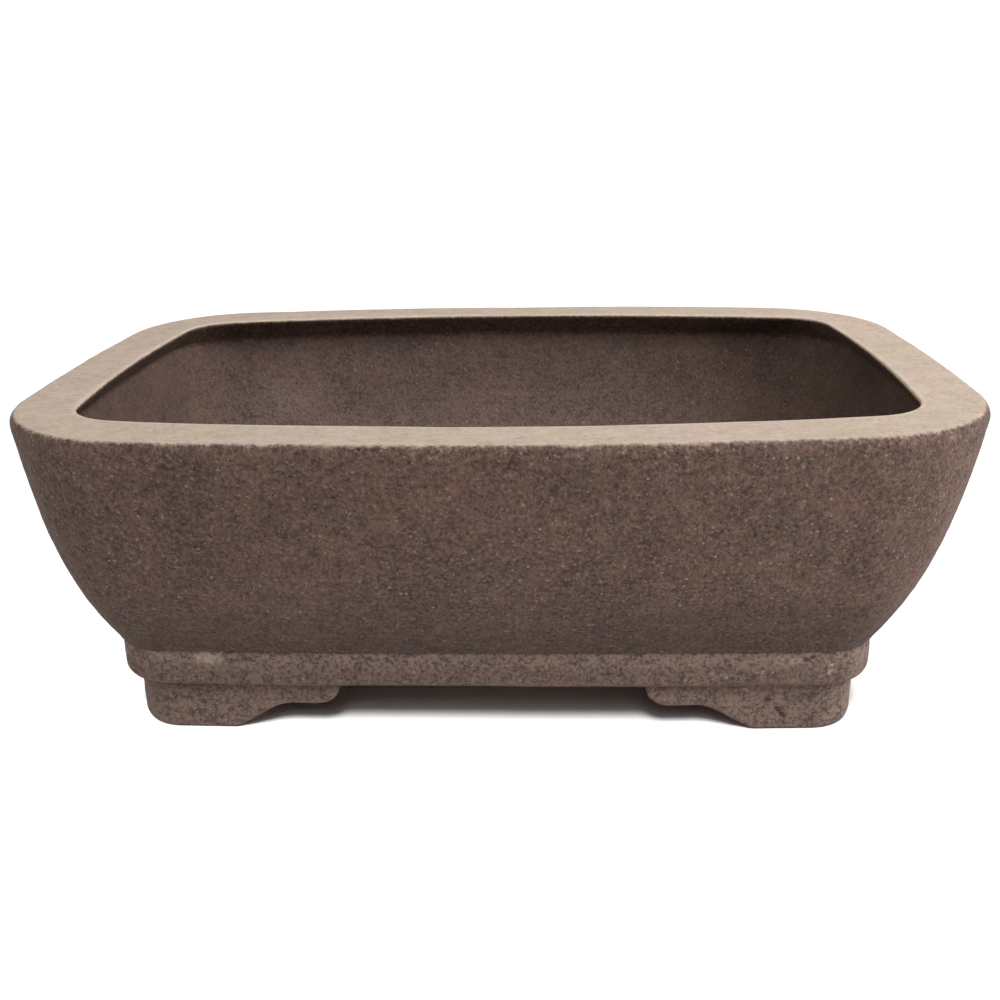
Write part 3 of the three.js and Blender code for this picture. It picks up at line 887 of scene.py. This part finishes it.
def clay_material(name, with_slip_and_painted_light):
    """Sandy clay. With slip, the rim's pale slip covers it, which also paints the light on the rim's top and
    a highlight along its inner edge. Without, smears of thin slip lie on it.
    """
    n = Nodes(name)
    # Body of the clay: clouds of redder, greener and greyer clay.
    mottle = n.noise(MOTTLE, 2, 0.6)
    other = n.noise(GREY_MOTTLE, 2, 0.6, n.shifted(0.3))
    colour = n.mix(n.range(mottle, 0.5, 0.72, 0, 0.5), CLAY, CLAY_RED)
    colour = n.mix(n.range(mottle, 0.5, 0.28, 0, 0.5), colour, CLAY_OLIVE)
    colour = n.mix(n.range(other, 0.5, 0.72, 0, 0.5), colour, CLAY_GREY)

    # Sand: coarse and fine grains, each with its own tone, with clay between them.
    coarse = n.cells(COARSE_GRAIN)
    coarse_tone = n.channel(coarse.outputs["Color"], 0)
    fine = n.cells(FINE_GRAIN)
    fine_tone = n.channel(fine.outputs["Color"], 1)
    fine_core = n.range(fine.outputs["Distance"], 0.66, 0.24)
    body = n.noise(BODY, 3, 0.62)
    grain = n.math("ADD", n.swing(body, 0.46), n.range(coarse_tone, 0, 1, -0.12, 0.12))
    grain = n.math("ADD", grain, n.math("MULTIPLY", fine_core, n.range(fine_tone, 0, 1, -0.32, 0.36)))
    grain = n.math("ADD", grain, n.swing(n.noise(PATCH), 0.13))
    # Inside, water and soil have smoothed the grain and left blotches.
    worn = n.attribute("worn")
    grain = n.math("MULTIPLY", grain, n.range(worn, 0, 1, 1.0, WORN_GRAIN))
    clouds = n.math("MULTIPLY", n.swing(n.noise(CLOUD), 1), n.range(worn, 0, 1, 0.12, 0.22))
    tone = n.math("ADD", n.math("ADD", grain, clouds), 1.0)
    colour = n.scale_colour(colour, tone)
    # The palest of the fine grains, and larger pale specks.
    pale = n.math("MULTIPLY", n.range(fine_tone, 0.90, 0.99), fine_core)
    colour = n.mix(n.math("MULTIPLY", pale, 0.45), colour, GRAIN_PALE)
    speck = n.cells(SPECK)
    speck_strength = n.range(n.channel(speck.outputs["Color"], 2), 0.55, 1.0, 0.0, 0.85)
    speck_core = n.math("MULTIPLY", n.range(speck.outputs["Distance"], 0.25, 0.08), speck_strength)
    colour = n.mix(speck_core, colour, GRAIN_PALE)
    # Pits, in some of their cells.
    pits = n.cells(PIT)
    pit_here = n.range(n.channel(pits.outputs["Color"], 1), 0.62, 0.9)
    pit = n.math("MULTIPLY", n.range(pits.outputs["Distance"], 0.40, 0.10), pit_here)
    colour = n.mix(n.math("MULTIPLY", pit, 0.62), colour, DARK_GRAIN_AND_SHADE)
    # Dust lies on the paler grain first, and along the moulding's top edge it also paints a highlight.
    dust_and_highlight_share = n.math("MULTIPLY", n.attribute("dust"), n.range(grain, -0.35, 0.35, 0.35, 1.65))
    colour = n.mix(dust_and_highlight_share, colour, DUST_AND_HIGHLIGHT)
    # The dark attribute holds painted shade low on the outside, under the lip and at the right end inside,
    # and dark joints and marks.
    colour = n.mix(n.attribute("dark"), colour, DARK_GRAIN_AND_SHADE)

    height = n.math("MULTIPLY", n.math("MULTIPLY", body, BODY_HEIGHT), n.range(worn, 0, 1, 1.0, WORN_BODY))
    height = n.math("ADD", height, n.math("MULTIPLY", fine_core, n.range(fine_tone, 0, 1, *FINE_HEIGHTS)))
    height = n.math("ADD", height, n.math("MULTIPLY", speck_core, SPECK_HEIGHT))
    height = n.math("SUBTRACT", height, n.math("MULTIPLY", pit, PIT_DEPTH))

    cover = n.attribute("slip")
    if with_slip_and_painted_light:
        streaks = n.add("ShaderNodeMapping", {"Vector": n.place, "Scale": RUB_STRETCH}).outputs["Vector"]
        rubbed = n.noise(RUB, 3, 0.6, streaks)
        slip = n.mix(n.range(n.noise(SLIP_TINT), 0.35, 0.65), SLIP_OLIVE_AND_TOP_LIGHT, SLIP_PINK_AND_TOP_LIGHT)
        slip = n.mix(0.6, slip, SLIP_AND_TOP_LIGHT)
        slip_tone = n.math("ADD", n.range(rubbed, 0.25, 0.75, 0.94, 1.06), n.swing(body, 0.12))
        slip_tone = n.math("ADD", slip_tone, n.swing(n.noise(SLIP_PATCH), 0.05))
        # Painted highlight along the rim's inner edge.
        slip_tone = n.math("ADD", slip_tone, n.range(cover, 1.0, 1.0 + LIP_PAINTED_HIGHLIGHT, 0, LIP_PAINTED_HIGHLIGHT))
        slip = n.scale_colour(slip, slip_tone)
        slip = n.mix(n.math("MULTIPLY", pit, 0.35), slip, SLIP_THIN)
        # Painted shade under the lip, towards the clay's colour.
        slip = n.mix(n.attribute("dark"), slip, CLAY)
        # Its edge is ragged, and follows the grain.
        ragged = n.math("ADD", cover, n.swing(n.noise(SLIP_EDGE_PATCH, 2, 0.6), 0.12))
        ragged = n.math("ADD", ragged, n.range(body, 0.3, 0.7, -0.14, 0.14))
        # The slip's mask also paints the top's light, as it stops where the edges turn down.
        mask = n.range(ragged, 0.08, 1.0)
        colour = n.mix(mask, colour, slip)
        height = n.math("MULTIPLY", height, n.range(mask, 0, 1, 1.0, UNDER_SLIP))
        height = n.math("ADD", height, n.math("MULTIPLY", n.math("MULTIPLY", rubbed, mask), RUB_HEIGHT))
    else:
        smear = n.math("MULTIPLY", cover, n.range(grain, -0.35, 0.35, 0.45, 1.0))
        colour = n.mix(smear, colour, SLIP_THIN)

    bump = n.add("ShaderNodeBump", {"Height": height, "Strength": 1.0, "Distance": 1 * MM})
    n.set(n.shader.inputs["Base Color"], colour)
    n.set(n.shader.inputs["Roughness"], n.range(body, 0.3, 0.7, 0.84, 0.97))
    n.shader.inputs["Specular IOR Level"].default_value = 0.25
    n.set(n.shader.inputs["Normal"], bump.outputs["Normal"])
    return n.material


# ---------------------------------------------------------------- stage

PAPER = 0.96
FLOOR_HALF = 30
BACKDROP_RADIUS = 12
BACKDROP_STEPS = 96
BACKDROP_HEIGHT = 1.7
SKY_HEIGHT = 16
BACKDROP_GLOW = 1.02
WORLD_GLOW = 0.03

# Lights shine on the pot or on the floor alone, and only the base shades the floor, so that the floor stays
# white right up to the pot.
pot_lit = bpy.data.collections.new("pot_lit")
floor_lit = bpy.data.collections.new("floor_lit")
shades_floor = bpy.data.collections.new("shades_floor")


def stage_mesh(name, material, vertices, faces):
    """A mesh that is only seen and lit, and isn't part of the pot."""
    mesh = bpy.data.meshes.new(name)
    mesh.from_pydata(vertices, [], faces)
    mesh.materials.append(material)
    thing = bpy.data.objects.new(name, mesh)
    bpy.context.scene.collection.objects.link(thing)
    return thing


def make_stage():
    """A white floor, and a glowing wall far off all round. The wall's lower part lights the pot, and is low
    enough to leave the ceiling to the lamps. Its upper part is only seen.
    """
    white = bpy.data.materials.new("white_paper")
    white.use_nodes = True
    shader = white.node_tree.nodes["Principled BSDF"]
    shader.inputs["Base Color"].default_value = (PAPER, PAPER, PAPER, 1)
    shader.inputs["Roughness"].default_value = 1
    shader.inputs["Specular IOR Level"].default_value = 0
    corners = [(x * FLOOR_HALF, y * FLOOR_HALF, 0) for x, y in ((-1, -1), (1, -1), (1, 1), (-1, 1))]
    floor_lit.objects.link(stage_mesh("stage_floor", white, corners, [(0, 1, 2, 3)]))

    glowing = bpy.data.materials.new("lit_paper")
    glowing.use_nodes = True
    shader = glowing.node_tree.nodes["Principled BSDF"]
    shader.inputs["Base Color"].default_value = (0, 0, 0, 1)
    shader.inputs["Emission Color"].default_value = (1, 1, 1, 1)
    shader.inputs["Emission Strength"].default_value = BACKDROP_GLOW
    ring = circle(0, 0, BACKDROP_RADIUS, BACKDROP_STEPS)
    for name, low, high, lights_pot in (
        ("stage_backdrop", -0.01, BACKDROP_HEIGHT, True),
        ("stage_sky", BACKDROP_HEIGHT, SKY_HEIGHT, False),
    ):
        steps = len(ring)
        vertices = [(x, y, z) for z in (low, high) for x, y in ring]
        faces = [(i, (i + 1) % steps, steps + (i + 1) % steps, steps + i) for i in range(steps)]
        wall = stage_mesh(name, glowing, vertices, faces)
        wall.light_linking.receiver_collection = pot_lit
        wall.visible_diffuse = lights_pot
        wall.visible_glossy = lights_pot
        wall.visible_shadow = False

    world = bpy.data.worlds.new("studio")
    world.use_nodes = True
    background = world.node_tree.nodes["Background"]
    background.inputs["Color"].default_value = (1, 1, 1, 1)
    background.inputs["Strength"].default_value = WORLD_GLOW
    bpy.context.scene.world = world


def add_softbox(name, place, size, power):
    """A rectangular lamp that faces the middle of the pot, on the pot alone."""
    light = bpy.data.lights.new(name, "AREA")
    light.shape = "RECTANGLE"
    light.size, light.size_y = size
    light.energy = power
    lamp = bpy.data.objects.new(name, light)
    direction = Vector((0, 0, HEIGHT / 2)) - Vector(place)
    turn = direction.to_track_quat("-Z", "Y").to_matrix().to_4x4()
    lamp.matrix_world = Matrix.Translation(place) @ turn
    lamp.light_linking.receiver_collection = pot_lit
    bpy.context.scene.collection.objects.link(lamp)


def add_sun(name, azimuth, elevation, strength, width=50, colour=(1, 1, 1), on_floor=False):
    """A broad, soft, distant light on the pot or on the floor. Azimuth 0 is the front, and 90 the right."""
    light = bpy.data.lights.new(name, "SUN")
    light.energy = strength * math.pi
    light.color = colour
    light.angle = math.radians(width)
    lamp = bpy.data.objects.new(name, light)
    across, rise = math.radians(azimuth), math.radians(elevation)
    level = math.cos(rise)
    direction = Vector((math.sin(across) * level, -math.cos(across) * level, math.sin(rise)))
    lamp.rotation_euler = direction.to_track_quat("Z", "Y").to_euler()
    lamp.light_linking.receiver_collection = floor_lit if on_floor else pot_lit
    if on_floor:
        lamp.light_linking.blocker_collection = shades_floor
    bpy.context.scene.collection.objects.link(lamp)


CAMERA_PLACE = (13.3 * MM, -344.5 * MM, 171.0 * MM)
CAMERA_ANGLES = (0.3411, 0.0406, -0.0167)  # down, to the left and rolled, in radians
SENSOR = 36
FOCAL_SHARE = 1.16  # focal length as a share of the sensor's width


def make_camera():
    """The photo's view, solved together with the pot's proportions."""
    pitch, yaw, roll = CAMERA_ANGLES
    level = Vector((-math.sin(yaw), math.cos(yaw), 0))
    forward = level * math.cos(pitch) - Vector((0, 0, math.sin(pitch)))
    across = Vector((math.cos(yaw), math.sin(yaw), 0))
    upward = across.cross(forward)
    right = across * math.cos(roll) + upward * math.sin(roll)
    up = upward * math.cos(roll) - across * math.sin(roll)
    data = bpy.data.cameras.new("camera")
    data.sensor_width = SENSOR
    data.lens = FOCAL_SHARE * SENSOR
    data.clip_start = 0.01
    camera = bpy.data.objects.new("camera", data)
    turn = Matrix((right, up, -forward)).transposed().to_4x4()
    camera.matrix_world = Matrix.Translation(CAMERA_PLACE) @ turn
    bpy.context.scene.collection.objects.link(camera)
    bpy.context.scene.camera = camera


make_camera()
make_stage()
add_sun("front_light", 0, 60, 0.80)
add_sun("right_light", 90, 30, 0.20)
add_sun("left_light", -90, 18, 0.27, width=40, colour=(1.0, 0.93, 0.86))
add_sun("front_left_light", -50, 30, 0.16)
add_softbox("right_softbox", (0.7, -0.1, 0.7), (0.5, 0.5), 9.5)
add_softbox("low_right_softbox", (0.55, -0.35, 0.08), (0.3, 0.15), 2.8)
add_sun("floor_light", 0, 54, 1.40, width=17, on_floor=True)
add_sun("floor_low_light", 0, 42, 0.10, width=16, on_floor=True)

clay = clay_material("sandy_clay_surface", False)
rim_clay = clay_material("sponged_rim_surface_and_painted_light", True)
make_floor(clay)
make_moulding(clay)
make_walls_and_rim(clay, rim_clay)
for face, sign_y in (("front", -1), ("back", 1)):
    for end, sign_x in (("left", -1), ("right", 1)):
        make_foot(face, end, sign_x, sign_y, clay)

bpy.context.scene.view_settings.view_transform = "Standard"
